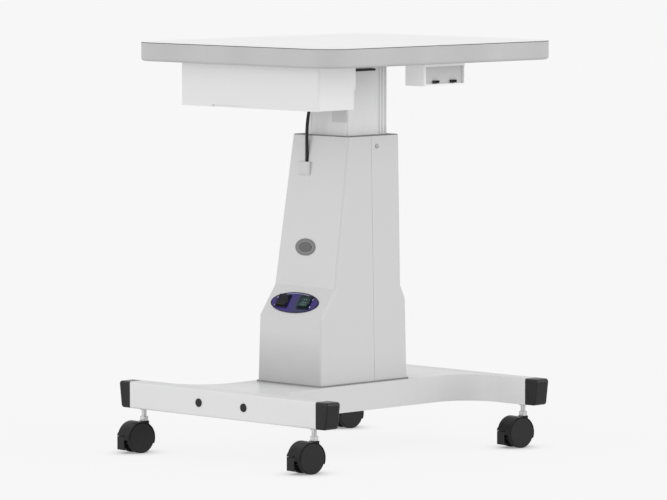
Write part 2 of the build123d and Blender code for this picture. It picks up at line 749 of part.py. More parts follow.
with BuildPart() as drive_nut:
    with BuildSketch(Plane((0, column_y, carrier_bottom - 10))):
        Circle(13)
    extrude(amount=10 + carrier_thickness)
    with BuildSketch(Plane((0, column_y, carrier_bottom + carrier_thickness))):
        Circle(22)
    extrude(amount=8)
    with BuildSketch(Plane((0, column_y, carrier_bottom - 12))):
        Circle(screw_radius + 0.06)
    extrude(amount=40, mode=Mode.SUBTRACT)
drive_nut.part.label = "drive_nut"
export_step(drive_nut.part, "parts/drive_nut.step")

with BuildPart() as transformer:
    with Locations((-8, base_y - 68, base_top + 27)):
        Box(62, 50, 54)
    fillet(transformer.edges().filter_by(Axis.Z), 3.0)
    with Locations((-8, base_y - 68, base_top + 27)):
        Box(40, 58, 34)
transformer.part.label = "transformer"
export_step(transformer.part, "parts/transformer.step")

with BuildPart() as control_board:
    with Locations((50, base_y - 64, base_top + 52)):
        Box(1.6, 64, 92)
    with Locations((46.2, base_y - 78, base_top + 30), (46.2, base_y - 78, base_top + 56)):
        Box(6, 16, 18)
    with Locations((44.2, base_y - 50, base_top + 36)):
        Box(10, 22, 30)
    with Locations((50, base_y - 64, base_top + 3)):
        Box(9, 50, 6)
control_board.part.label = "control_board"
export_step(control_board.part, "parts/control_board.step")

with BuildPart() as power_inlet:
    with BuildSketch(inlet_plane.offset(0.03)):
        RectangleRounded(31, 25, 2)
    extrude(amount=2.4)
    with BuildSketch(inlet_plane.offset(0.03)):
        Rectangle(28, 21)
    extrude(amount=-16)
    with BuildSketch(inlet_plane.offset(2.5)):
        Rectangle(24.4, 17)
    extrude(amount=-14, mode=Mode.SUBTRACT)
    with BuildSketch(inlet_plane.offset(-11.6)):
        with Locations((-7, -2), (0, 2.4), (7, -2)):
            Rectangle(2, 4)
    extrude(amount=11)
power_inlet.part.label = "power_inlet"
export_step(power_inlet.part, "parts/power_inlet.step")

# ---------------------------------------------------------------- tabletop
band_top = top_height - laminate_thickness
head_half_x, head_half_y = 90.0, 60.0
head_screws_x, head_screws_y = 160.0, 100.0
wood_screw = 2.5
case_half = 157.0
case_front = base_y - 193.6
case_back = base_y - 109.0
case_bottom = 573.0
case_wall = 1.2
box_low = (160.0, base_y + 1.0, 608.0)
box_high = (204.0, base_y + 97.0, table_under - 0.02)
case_screws = [(x, y) for x in (-120, 120) for y in (case_front + 20, case_back - 20)]
box_screws = [(box_low[0] - 6, box_low[1] + 20), (box_low[0] - 6, box_high[1] - 20)]
plate_screws = [(x, column_y + y) for x in (-head_screws_x / 2, head_screws_x / 2)
                for y in (-head_screws_y / 2, head_screws_y / 2)]

with BuildPart() as tabletop_core:
    with BuildSketch(Plane((0, top_y, table_under))):
        RectangleRounded(top_width - 2 * band_thickness, top_depth - 2 * band_thickness,
                         top_corner - band_thickness)
    extrude(amount=band_top - table_under)
    with BuildSketch(Plane.XY.offset(table_under)):
        with Locations(*plate_screws, *case_screws, *box_screws):
            Circle(wood_screw + 0.1)
    extrude(amount=16, mode=Mode.SUBTRACT)
tabletop_core.part.label = "tabletop_core"
export_step(tabletop_core.part, "parts/tabletop_core.step")

with BuildPart() as edge_band:
    with BuildSketch(Plane((0, top_y, table_under))):
        RectangleRounded(top_width, top_depth, top_corner)
        RectangleRounded(top_width - 2 * band_thickness, top_depth - 2 * band_thickness,
                         top_corner - band_thickness, mode=Mode.SUBTRACT)
    extrude(amount=band_top - table_under)
    rim = edge_band.faces().sort_by(Axis.Z)[0].outer_wire().edges()
    fillet(rim, band_rounding)
edge_band.part.label = "edge_band"
export_step(edge_band.part, "parts/edge_band.step")

with BuildPart() as tabletop_laminate:
    with BuildSketch(Plane((0, top_y, band_top))):
        RectangleRounded(top_width - 0.6, top_depth - 0.6, top_corner - 0.3)
    extrude(amount=laminate_thickness)
    rim = tabletop_laminate.faces().sort_by(Axis.Z)[-1].edges()
    fillet(rim, 0.4)
tabletop_laminate.part.label = "tabletop_laminate"
export_step(tabletop_laminate.part, "parts/tabletop_laminate.step")

with BuildPart() as head_plate:
    with BuildSketch(Plane((0, column_y, head_under))):
        RectangleRounded(2 * head_half_x, 2 * head_half_y, 8)
        with GridLocations(head_screws_x, head_screws_y, 2, 2):
            Circle(wood_screw + 0.2, mode=Mode.SUBTRACT)
    extrude(amount=head_thickness)
head_plate.part.label = "head_plate"
export_step(head_plate.part, "parts/head_plate.step")

with BuildPart() as top_screws:
    for places, seat in ((plate_screws, head_under), (case_screws, table_under - case_wall),
                         (box_screws, table_under - case_wall)):
        with BuildSketch(Plane.XY.offset(seat)):
            with Locations(*places):
                Circle(5)
        extrude(amount=-2.6)
        with BuildSketch(Plane.XY.offset(seat)):
            with Locations(*places):
                Circle(wood_screw)
        extrude(amount=table_under - seat + 15)
top_screws.part.label = "top_screws"
export_step(top_screws.part, "parts/top_screws.step")

with BuildPart() as index_plate:
    with Locations((31, column_y - column_size / 2 - 1.02, 561)):
        Box(32, 2, 34)
    fillet(index_plate.edges().filter_by(Axis.Y), 1.5)
index_plate.part.label = "index_plate"
export_step(index_plate.part, "parts/index_plate.step")

with BuildPart() as column_stop:
    with Locations((column_size / 2 + 3.02, base_y + 18.5, 629.6)):
        Box(6, 47, 3.6)
    chamfer(column_stop.edges().filter_by(Axis.X).group_by(Axis.Y)[-1], 1.5)
column_stop.part.label = "column_stop"
export_step(column_stop.part, "parts/column_stop.step")

# ---------------------------------------------------------------- drawer
front_thickness = 3.0
drawer_front_bottom = 572.3
back_step = 5.4              # the case's lower rear edge is set in by this much
step_height = 605.0
pull_half, pull_height = 40.0, 3.6
with BuildPart() as drawer_case:
    centre, size = step_box((-case_half, case_front, case_bottom),
                            (case_half, case_back - back_step, table_under - 0.02))
    with Locations(centre):
        Box(*size)
    centre, size = step_box((-case_half, case_front, step_height), (case_half, case_back, table_under - 0.02))
    with Locations(centre):
        Box(*size)
    fillet(drawer_case.edges().filter_by(Axis.Z).group_by(Axis.Y)[-1], 2.0)
    inner_half = case_half - case_wall
    centre, size = step_box((-inner_half, case_front - 1, case_bottom + case_wall),
                            (inner_half, case_back - back_step - case_wall, table_under - case_wall))
    with Locations(centre):
        Box(*size, mode=Mode.SUBTRACT)
    centre, size = step_box((-inner_half, case_front - 1, step_height + case_wall),
                            (inner_half, case_back - case_wall, table_under - case_wall))
    with Locations(centre):
        Box(*size, mode=Mode.SUBTRACT)
    with BuildSketch(Plane.XY.offset(table_under - 3)):
        with Locations(*case_screws):
            Circle(wood_screw + 0.2)
    extrude(amount=6, mode=Mode.SUBTRACT)
drawer_case.part.label = "drawer_case"
export_step(drawer_case.part, "parts/drawer_case.step")

tray_half = case_half - case_wall - 1.0
tray_low = case_bottom + case_wall + 0.6
tray_high = 634.0
with BuildPart() as drawer_tray:
    centre, size = step_box((-tray_half, case_front - 0.3, tray_low), (tray_half, case_back - 8, tray_high))
    with Locations(centre):
        Box(*size)
    centre, size = step_box((-tray_half + 1.2, case_front + 0.9, tray_low + 1.2),
                            (tray_half - 1.2, case_back - 9.2, tray_high + 1))
    with Locations(centre):
        Box(*size, mode=Mode.SUBTRACT)
    centre, size = step_box((-case_half - 0.8, case_front - 0.3 - front_thickness, drawer_front_bottom),
                            (case_half + 0.8, case_front - 0.3, 643.5))
    with Locations(centre):
        Box(*size)
    centre, size = step_box((-45 - pull_half, case_front - 4, drawer_front_bottom - 1),
                            (-45 + pull_half, case_front - 1.2, drawer_front_bottom + pull_height))
    with Locations(centre):
        Box(*size, mode=Mode.SUBTRACT)
    fillet(drawer_tray.faces().sort_by(Axis.Y)[0].edges().filter_by(Axis.Z).group_by(Axis.X)[0], 1.0)
    fillet(drawer_tray.faces().sort_by(Axis.Y)[0].edges().filter_by(Axis.Z).group_by(Axis.X)[-1], 1.0)
drawer_tray.part.label = "drawer_tray"
export_step(drawer_tray.part, "parts/drawer_tray.step")

# ---------------------------------------------------------------- accessory outlet box
box_wall = 1.5
recess = 4.0
socket_places = [(base_y + 30.0, 614.6), (base_y + 71.0, 614.6)]
with BuildPart() as outlet_box:
    centre, size = step_box(box_low, box_high)
    with Locations(centre):
        Box(*size)
    fillet(outlet_box.edges().filter_by(Axis.Z), 2.0)
    centre, size = step_box((box_low[0] + box_wall, box_low[1] + box_wall, box_low[2] + box_wall),
                            (box_high[0] - recess - box_wall, box_high[1] - box_wall, box_high[2] + 1))
    with Locations(centre):
        Box(*size, mode=Mode.SUBTRACT)
    centre, size = step_box((box_high[0] - recess, box_low[1] + 3, box_low[2] + 3),
                            (box_high[0] + 1, box_high[1] - 3, box_high[2] - 5))
    with Locations(centre):
        Box(*size, mode=Mode.SUBTRACT)
    centre, size = step_box((box_low[0] - 12, box_low[1] + 8, table_under - case_wall),
                            (box_low[0] + 1, box_high[1] - 8, table_under - 0.02))
    with Locations(centre):
        Box(*size)
    with BuildSketch(Plane.XY.offset(table_under - 3)):
        with Locations(*box_screws):
            Circle(wood_screw + 0.2)
    extrude(amount=6, mode=Mode.SUBTRACT)
    for y, z in socket_places:
        with Locations((box_high[0] - recess, y, z)):
            Box(2 * box_wall + 2, 13, 4.4, mode=Mode.SUBTRACT)
outlet_box.part.label = "outlet_box"
export_step(outlet_box.part, "parts/outlet_box.step")

with BuildPart() as outlet_sockets:
    for y, z in socket_places:
        with Locations((box_high[0] - recess - 0.5, y, z)):
            Box(9, 12.8, 4.2)
        with Locations((box_high[0] - recess + 3, y, z)):
            Box(8, 9, 2, mode=Mode.SUBTRACT)
outlet_sockets.part.label = "outlet_sockets"
export_step(outlet_sockets.part, "parts/outlet_sockets.step")

# ---------------------------------------------------------------- cord
gland_bottom = table_under - 12
gland_x, gland_y = -6.0, base_y - 42.0
cord_route = [(gland_x, gland_y, gland_bottom), (gland_x, gland_y, 597.0),
              (cord_x, cord_y, 547.0), (cord_x, cord_y, 240.0)]


def corner_radii(points):
    """Arc for each corner that takes up three tenths of the shorter run beside it."""
    radii = []
    for before, here, after in zip(points, points[1:], points[2:]):
        arriving = Vector(*here) - Vector(*before)
        leaving = Vector(*after) - Vector(*here)
        turn = radians(arriving.get_angle(leaving))
        radii.append(0.3 * min(arriving.length, leaving.length) / tan(turn / 2))
    return radii


cord_radii = corner_radii(cord_route)
print("cord radii", [round(r) for r in cord_radii])
with BuildPart() as cord:
    with BuildLine() as cord_path:
        FilletPolyline(*cord_route, radius=cord_radii)
    with BuildSketch(Plane(cord_path.line @ 0, z_dir=cord_path.line % 0)):
        Circle(cord_radius)
    sweep()
cord.part.label = "cord"
export_step(cord.part, "parts/cord.step")

with BuildPart() as cord_gland:
    with BuildSketch(Plane((gland_x, gland_y, gland_bottom))):
        Circle(5.5)
    extrude(amount=table_under - gland_bottom)
    chamfer(cord_gland.edges().filter_by(GeomType.CIRCLE).group_by(Axis.Z)[0], 1.5)
cord_gland.part.label = "cord_gland"
export_step(cord_gland.part, "parts/cord_gland.step")
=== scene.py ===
"""Looks of the motorised instrument table: its finishes, small printed and moulded detail, the cord,
the camera and the studio. Metres, in the CAD frame: +Z up, -Y to the front."""

import json
import math

import bmesh
import bpy
from mathutils import Matrix, Vector


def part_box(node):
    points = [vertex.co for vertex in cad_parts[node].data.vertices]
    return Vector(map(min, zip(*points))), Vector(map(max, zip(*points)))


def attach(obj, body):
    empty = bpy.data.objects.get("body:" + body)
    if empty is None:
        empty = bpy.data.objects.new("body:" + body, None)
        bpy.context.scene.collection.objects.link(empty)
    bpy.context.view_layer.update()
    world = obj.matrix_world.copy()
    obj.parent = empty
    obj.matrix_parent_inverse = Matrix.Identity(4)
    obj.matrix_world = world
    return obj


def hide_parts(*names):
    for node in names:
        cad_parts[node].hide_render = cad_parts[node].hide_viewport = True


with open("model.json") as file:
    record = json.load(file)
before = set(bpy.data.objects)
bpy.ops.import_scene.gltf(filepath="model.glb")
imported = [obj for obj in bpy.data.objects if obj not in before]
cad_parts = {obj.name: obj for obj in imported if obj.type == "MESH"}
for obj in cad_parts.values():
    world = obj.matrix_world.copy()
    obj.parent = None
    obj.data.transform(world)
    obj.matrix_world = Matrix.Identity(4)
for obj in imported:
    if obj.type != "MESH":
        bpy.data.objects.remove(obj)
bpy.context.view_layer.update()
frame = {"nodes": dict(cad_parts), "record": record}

nodes = frame["nodes"]
scene = bpy.context.scene


# ---------------------------------------------------------------- camera
def direction(azimuth, elevation):
    """Unit vector from the object towards that azimuth and height, in degrees. Azimuth 0 is the front."""
    turn = math.radians(azimuth)
    tilt = math.radians(elevation)
    return Vector((math.sin(turn) * math.cos(tilt), -math.cos(turn) * math.cos(tilt), math.sin(tilt)))


def aim_back(item, towards):
    """Link a camera or a light that stands in that direction and looks back along it."""
    item.rotation_mode = "QUATERNION"
    item.rotation_quaternion = (-towards).to_track_quat("-Z", "Y")
    scene.collection.objects.link(item)


def place_camera(azimuth, pitch, distance, aim, lens):
    """Camera looking at aim from that azimuth; pitch is how far it looks down, in degrees."""
    towards = direction(azimuth, pitch)
    data = bpy.data.cameras.new("camera")
    data.lens = lens
    data.sensor_width = 36.0
    data.clip_end = 200.0
    camera = bpy.data.objects.new("camera", data)
    camera.location = aim + towards * distance
    aim_back(camera, towards)
    scene.camera = camera


place_camera(azimuth=44.69, pitch=4.67, distance=8.126, aim=Vector((0.0, -0.0060, 0.3310)), lens=265.57)


# ---------------------------------------------------------------- node helpers
def add_node(tree, kind, inputs=None, **settings):
    """One shader node; an input given as a socket is linked, any other value is set."""
    made = tree.nodes.new("ShaderNode" + kind)
    for key, value in settings.items():
        setattr(made, key, value)
    for key, value in (inputs or {}).items():
        if isinstance(value, bpy.types.NodeSocket):
            tree.links.new(value, made.inputs[key])
        else:
            made.inputs[key].default_value = value
    return made


def grey(value):
    return (value, value, value, 1.0)


def shade(colour, factor):
    return tuple(min(1.0, channel * factor) for channel in colour[:3]) + (1.0,)


def new_material(name, **constants):
    """Principled material; constants are set straight on the shader's sockets."""
    material = bpy.data.materials.new(name)
    material.use_nodes = True
    shader = material.node_tree.nodes["Principled BSDF"]
    for key, value in constants.items():
        shader.inputs[key.replace("_", " ")].default_value = value
    return material, material.node_tree, shader


def place_of(tree):
    return add_node(tree, "TexCoord").outputs["Object"]


def object_space(tree, stretch=(1.0, 1.0, 1.0)):
    return add_node(tree, "Mapping", {"Vector": place_of(tree), "Scale": stretch}).outputs[0]


def part_of(tree, where, axis):
    return add_node(tree, "SeparateXYZ", {"Vector": where}).outputs[axis]


def facing(tree, axis):
    """How far the surface faces along an axis, from -1 to 1."""
    return part_of(tree, add_node(tree, "NewGeometry").outputs["Normal"], axis)


def noise(tree, where, scale, detail=2.0, roughness=0.5):
    made = add_node(tree, "TexNoise", {"Vector": where, "Scale": scale, "Detail": detail,
                                       "Roughness": roughness})
    return made.outputs["Fac"]


def cells(tree, where, scale):
    """A flat random value in each of many small cells."""
    made = add_node(tree, "TexVoronoi", {"Vector": where, "Scale": scale})
    return add_node(tree, "RGBToBW", {"Color": made.outputs["Color"]}).outputs[0]


def between(tree, factor, low, high, start=0.3, stop=0.7):
    """A number that goes from low to high as factor goes from start to stop."""
    made = add_node(tree, "MapRange", {"Value": factor, "From Min": start, "From Max": stop,
                                       "To Min": low, "To Max": high})
    return made.outputs["Result"]


def rising(tree, factor, start, stop):
    """0 up to start, 1 from stop on."""
    return between(tree, factor, 0.0, 1.0, start, stop)


def falling(tree, factor, start, stop):
    """1 up to start, 0 from stop on."""
    return between(tree, factor, 1.0, 0.0, start, stop)


def tint(tree, factor, dark, light, start=0.3, stop=0.7):
    """A colour that goes from dark to light as factor goes from start to stop."""
    ramp = add_node(tree, "ValToRGB", {"Fac": factor})
    ramp.color_ramp.elements[0].position = start
    ramp.color_ramp.elements[0].color = dark
    ramp.color_ramp.elements[1].position = stop
    ramp.color_ramp.elements[1].color = light
    return ramp.outputs["Color"]


def mix(tree, factor, first, second):
    """First colour blended to second as factor goes from 0 to 1, by the node's unnamed colour sockets."""
    made = add_node(tree, "Mix", data_type="RGBA")
    for index, value in ((0, factor), (6, first), (7, second)):
        if isinstance(value, bpy.types.NodeSocket):
            tree.links.new(value, made.inputs[index])
        else:
            made.inputs[index].default_value = value
    return made.outputs[2]


def calculate(tree, operation, first, second=0.0):
    """One sum on numbers."""
    return add_node(tree, "Math", {0: first, 1: second}, operation=operation).outputs[0]


def vector(tree, operation, first, *second, output="Vector"):
    """One sum on vectors; a length, a distance or a dot product comes out as Value."""
    inputs = dict(enumerate((first, *second)))
    return add_node(tree, "VectorMath", inputs, operation=operation).outputs[output]


def bump(tree, shader, height, distance):
    made = add_node(tree, "Bump", {"Height": height, "Distance": distance})
    tree.links.new(made.outputs["Normal"], shader.inputs["Normal"])


def link(tree, source, shader, socket):
    tree.links.new(source, shader.inputs[socket])


def paint_of(shader):
    """The colour that a finish has so far, for a change on top of it."""
    return shader.inputs["Base Color"].links[0].from_socket


def on_face(tree, centre, up):
    """Place on a sloping face, in metres from centre: X across, Y up the slope."""
    away = vector(tree, "SUBTRACT", place_of(tree), centre)
    along = vector(tree, "DOT_PRODUCT", away, up, output="Value")
    return add_node(tree, "CombineXYZ", {"X": part_of(tree, away, "X"), "Y": along}).outputs[0]


def oval(tree, flat, half_size):
    """Distance from the middle of an ellipse, 1 on its edge."""
    scaled = vector(tree, "DIVIDE", flat, (*half_size, 1.0))
    return vector(tree, "LENGTH", scaled, output="Value")


def ring_round(tree, out, middle, full, gone):
    """1 within full of the distance middle, fading to 0 at gone from it."""
    away = calculate(tree, "ABSOLUTE", calculate(tree, "SUBTRACT", out, middle))
    return falling(tree, away, full, gone)


def spots(tree, flat, places, radius):
    """1 inside any of the round spots at places, 0 outside."""
    soft_edge = 0.0003
    total = None
    for x, y in places:
        away = vector(tree, "DISTANCE", flat, (x, y, 0.0), output="Value")
        inside = falling(tree, away, radius - soft_edge, radius + soft_edge)
        total = inside if total is None else calculate(tree, "MAXIMUM", total, inside)
    return total


def plain_finish(name, colour, rough, drift, grain, depth=0.00002, rough_drift=0.05, slow=9.0,
                 **constants):
    """Base for most finishes: a slow drift of tone, patches of more and less gloss, and a fine grain."""
    material, tree, shader = new_material(name, **constants)
    where = object_space(tree)
    fine = noise(tree, where, scale=grain, detail=3.0)
    clouds = noise(tree, where, scale=slow, detail=4.0)
    drifted = tint(tree, clouds, shade(colour, 1.0 - drift), shade(colour, 1.0 + drift))
    speckled = mix(tree, between(tree, fine, 0.0, 1.0), drifted, shade(colour, 1.0 - drift / 2))
    link(tree, speckled, shader, "Base Color")
    patches = noise(tree, where, scale=40.0, detail=3.0)
    link(tree, between(tree, patches, rough - rough_drift, rough + rough_drift), shader, "Roughness")
    bump(tree, shader, fine, depth)
    return material, tree, shader


# ---------------------------------------------------------------- painted finishes
paint_film = {"drift": 0.006, "grain": 420.0, "depth": 0.00002, "rough_drift": 0.02}


def powder_coat(name, colour, rough, coat):
    """Baked powder coat: a slight orange peel under a clear gloss."""
    return plain_finish(name, colour, rough, **paint_film, Coat_Weight=coat, Coat_Roughness=0.3,
                        Specular_IOR_Level=0.35)[0]


def foot_shaded_coat(name, colour, low_z, high_z, foot_shade_tone=0.66):
    """Grey powder coat with painted shade towards the foot, between the two heights, most of all in front.
    """
    material, tree, shader = plain_finish(name, colour, 0.38, **paint_film, Coat_Weight=0.2,
                                          Coat_Roughness=0.15)
    paint = paint_of(shader)
    backward = facing(tree, "Y")
    amount = between(tree, backward, 1.0, 0.3, start=-0.95, stop=-0.4)
    steepness = between(tree, backward, 1.0, 2.6, start=-0.95, stop=-0.4)
    nearness = falling(tree, part_of(tree, place_of(tree), "Z"), low_z, high_z)
    nearness = calculate(tree, "POWER", nearness, steepness)
    patchy = between(tree, noise(tree, object_space(tree), scale=18.0, detail=3.0), 0.85, 1.0)
    # painted shade: darker towards the foot, most on faces that look to the front
    painted_foot_shade = calculate(tree, "MULTIPLY", calculate(tree, "MULTIPLY", nearness, amount), patchy)
    link(tree, mix(tree, painted_foot_shade, paint, shade(colour, foot_shade_tone)), shader, "Base Color")
    return material


def foot_shadowed_coat(name, colour, foot, reach=0.045, fade=1.6, foot_shadow_tone=0.76, painted_side_shade=0.86):
    """White powder coat with painted shade on its sides and a painted shadow round the foot of the housing
    that stands on it.
    """
    material, tree, shader = plain_finish(name, colour, 0.32, **paint_film, Coat_Weight=0.2,
                                          Coat_Roughness=0.15)
    paint = paint_of(shader)
    foot_low, foot_high = (Vector(corner) for corner in foot)
    half = (foot_high - foot_low) / 2.0
    any_height = 1.0
    away = vector(tree, "SUBTRACT", place_of(tree), (foot_low + foot_high) / 2.0)
    away = vector(tree, "ABSOLUTE", away)
    away = vector(tree, "SUBTRACT", away, (half.x, half.y, any_height))
    away = vector(tree, "MAXIMUM", away, (0.0, 0.0, 0.0))
    clear = vector(tree, "LENGTH", away, output="Value")
    # painted shadow round the foot of the housing
    painted_foot_shadow = calculate(tree, "POWER", falling(tree, clear, 0.0, reach), fade)
    patchy = between(tree, noise(tree, object_space(tree), scale=25.0, detail=3.0), 0.8, 1.0)
    shadowed = mix(tree, calculate(tree, "MULTIPLY", painted_foot_shadow, patchy), paint, shade(colour, foot_shadow_tone))
    # painted shade on the faces that look along X
    sides = rising(tree, calculate(tree, "ABSOLUTE", facing(tree, "X")), 0.4, 1.0)
    link(tree, mix(tree, sides, shadowed, shade(colour, painted_side_shade)), shader, "Base Color")
    return material


def recess_shaded_coat(name, colour, low_x, high_x, recess_shade_tone=0.60):
    """Powder coat, with painted shade on the +X face of the panel set into its side between the two places.
    """
    material, tree, shader = plain_finish(name, colour, 0.4, **paint_film, Coat_Weight=0.15,
                                          Coat_Roughness=0.15)
    paint = paint_of(shader)
    soft_edge = 0.0002
    across = part_of(tree, place_of(tree), "X")
    inside = calculate(tree, "MULTIPLY", rising(tree, across, low_x, low_x + soft_edge),
                       falling(tree, across, high_x - soft_edge, high_x))
    # painted shade inside the recess
    painted_recess_shade = calculate(tree, "MULTIPLY", inside, rising(tree, facing(tree, "X"), 0.5, 0.8))
    link(tree, mix(tree, painted_recess_shade, paint, shade(colour, recess_shade_tone)), shader, "Base Color")
    return material


# ---------------------------------------------------------------- metal finishes
def brushed_metal(name, colour, rough, metallic=1.0):
    """Drawn or extruded metal, its fine lines running along Z."""
    material, tree, shader = new_material(name, Metallic=metallic)
    lines = noise(tree, object_space(tree, (30.0, 30.0, 1.0)), scale=30.0, detail=6.0, roughness=0.65)
    clouds = noise(tree, object_space(tree), scale=14.0, detail=3.0)
    streaks = tint(tree, lines, shade(colour, 0.93), shade(colour, 1.05))
    clouded = mix(tree, between(tree, clouds, 0.0, 0.35), streaks, shade(colour, 0.95))
    link(tree, clouded, shader, "Base Color")
    link(tree, between(tree, lines, rough - 0.06, rough + 0.08), shader, "Roughness")
    bump(tree, shader, lines, distance=0.00001)
    return material


def plated_steel(name, colour):
    """Zinc plate: faint crystalline patches and small dull spots."""
    material, tree, shader = new_material(name, Metallic=1.0)
    where = object_space(tree)
    crystals = tint(tree, cells(tree, where, scale=260.0), shade(colour, 0.85), shade(colour, 1.08),
                    start=0.1, stop=0.9)
    link(tree, crystals, shader, "Base Color")
    link(tree, between(tree, noise(tree, where, scale=120.0, detail=4.0), 0.24, 0.46), shader, "Roughness")
    bump(tree, shader, noise(tree, where, scale=1500.0), distance=0.00001)
    return material


# ---------------------------------------------------------------- plastic, rubber and board
def moulded_plastic(name, colour, rough, gloss=0.5):
    """Spark-textured mould surface with a faint bloom."""
    return plain_finish(name, colour, rough, drift=0.10, grain=1400.0, depth=0.00003,
                        rough_drift=0.07, Specular_IOR_Level=gloss)[0]


def rubber(name, colour, rough):
    """Matt rubber with a fine uneven skin."""
    return plain_finish(name, colour, rough, drift=0.2, grain=2200.0, depth=0.00004,
                        rough_drift=0.08, Specular_IOR_Level=0.4)[0]


def printed_panel(name, centre, up, half_size):
    """Violet film under a clear skin: dark border, light arc along the top, four light marks at the ends."""
    violet = (0.040, 0.023, 0.185)
    slate = (0.030, 0.036, 0.090, 1.0)
    border = (0.008, 0.007, 0.016, 1.0)
    arc_tone = (0.50, 0.48, 0.62, 1.0)
    mark_tone = (0.60, 0.60, 0.68, 1.0)
    mark_radius = 0.0014
    mark_places = [(-0.0420, 0.0072), (-0.0412, -0.0072), (0.0376, 0.0080), (0.0384, -0.0062)]
    material, tree, shader = plain_finish(name, violet, 0.24, drift=0.08, grain=1800.0, depth=0.00001,
                                          Specular_IOR_Level=0.3)
    film = paint_of(shader)
    flat = on_face(tree, centre, up)
    across = part_of(tree, flat, "X")
    cooler = mix(tree, rising(tree, across, -0.012, 0.012), film, slate)
    warmer = mix(tree, rising(tree, across, 0.026, 0.040), cooler, film)
    out = oval(tree, flat, half_size)
    bordered = mix(tree, rising(tree, out, 0.940, 0.960), warmer, border)
    line = ring_round(tree, out, middle=0.875, full=0.012, gone=0.022)
    upper = rising(tree, part_of(tree, flat, "Y"), 0.0130, 0.0138)
    arced = mix(tree, calculate(tree, "MULTIPLY", line, upper), bordered, arc_tone)
    marks = spots(tree, flat, mark_places, mark_radius)
    link(tree, mix(tree, marks, arced, mark_tone), shader, "Base Color")
    return material


def dotted_lens(name, colour, centre, up):
    """Translucent green cap with six light dots moulded into it."""
    dot_radius = 0.0009
    dot_tone = (0.20, 0.42, 0.34, 1.0)
    dot_strength = 0.8
    dot_places = [(x, y) for x in (-0.0026, 0.0026) for y in (-0.0048, 0.0, 0.0048)]
    material, tree, shader = plain_finish(name, colour, 0.24, drift=0.25, grain=1500.0, slow=140.0,
                                          Coat_Weight=0.05, Coat_Roughness=0.1, Specular_IOR_Level=0.25)
    body = paint_of(shader)
    dots = spots(tree, on_face(tree, centre, up), dot_places, dot_radius)
    dotted = mix(tree, calculate(tree, "MULTIPLY", dots, dot_strength), body, dot_tone)
    link(tree, dotted, shader, "Base Color")
    return material


def ringed_badge(name, centre, up, middle_half_size):
    """Cast badge: mid grey rim, thin light ring, and a darker raised middle."""
    rim_tone = (0.175, 0.175, 0.177)
    ring_tone = (0.30, 0.30, 0.30, 1.0)
    middle_tone = (0.098, 0.098, 0.099, 1.0)
    material, tree, shader = plain_finish(name, rim_tone, 0.36, drift=0.12, grain=1500.0, slow=120.0,
                                          depth=0.00003, Specular_IOR_Level=0.5)
    rim = paint_of(shader)
    out = oval(tree, on_face(tree, centre, up), middle_half_size)
    ring = ring_round(tree, out, middle=1.10, full=0.03, gone=0.07)
    ringed = mix(tree, ring, rim, ring_tone)
    middle = falling(tree, out, 0.99, 1.03)
    link(tree, mix(tree, middle, ringed, middle_tone), shader, "Base Color")
    return material


def laminate(name, top, edge):
    """White decorative laminate; its cut edge shows the darker backing."""
    material, tree, shader = plain_finish(name, top, 0.55, drift=0.006, grain=650.0, depth=0.000015,
                                          Specular_IOR_Level=0.3)
    surface = paint_of(shader)
    upward = rising(tree, facing(tree, "Z"), 0.55, 0.9)
    layers = noise(tree, object_space(tree, (1.0, 1.0, 12.0)), scale=90.0, detail=3.0)
    backing = tint(tree, layers, shade(edge, 0.85), edge)
    link(tree, mix(tree, upward, backing, surface), shader, "Base Color")
    return material


def chipboard(name):
    """Particle board, flat flakes of several browns, with a pale backing sheet on its underside."""
    material, tree, shader = new_material(name)
    dark_flake = (0.30, 0.18, 0.085, 1.0)
    light_flake = (0.62, 0.44, 0.26, 1.0)
    where = object_space(tree, (1.0, 1.0, 2.2))
    flakes = cells(tree, where, scale=420.0)
    board = tint(tree, flakes, dark_flake, light_flake, start=0.15, stop=0.85)
    downward = falling(tree, facing(tree, "Z"), -0.9, -0.5)
    sheet = tint(tree, noise(tree, object_space(tree), scale=12.0, detail=3.0), grey(0.82), grey(0.86))
    link(tree, mix(tree, downward, board, sheet), shader, "Base Color")
    link(tree, between(tree, noise(tree, where, scale=300.0), 0.75, 0.92), shader, "Roughness")
    bump(tree, shader, flakes, distance=0.0003)
    return material


# ---------------------------------------------------------------- studio
def make_world(light, seen):
    """Even studio light all round; the camera sees the same pale tone as the floor."""
    world = bpy.data.worlds.new("studio")
    world.use_nodes = True
    tree = world.node_tree
    tree.nodes.clear()
    path = add_node(tree, "LightPath")
    lit = add_node(tree, "Background", {"Color": grey(1.0), "Strength": light})
    shown = add_node(tree, "Background", {"Color": grey(seen), "Strength": 1.0})
    both = add_node(tree, "MixShader", {0: path.outputs["Is Camera Ray"], 1: lit.outputs[0],
                                        2: shown.outputs[0]})
    output = add_node(tree, "OutputWorld")
    tree.links.new(both.outputs[0], output.inputs["Surface"])
    scene.world = world


def soft_sun(name, azimuth, elevation, strength, spread):
    """A distant soft light from that azimuth and height, in degrees, as wide as spread."""
    towards = direction(azimuth, elevation)
    lamp_distance = 5.0
    data = bpy.data.lights.new(name, "SUN")
    data.energy = strength
    data.angle = math.radians(spread)
    lamp = bpy.data.objects.new(name, data)
    lamp.location = towards * lamp_distance
    aim_back(lamp, towards)


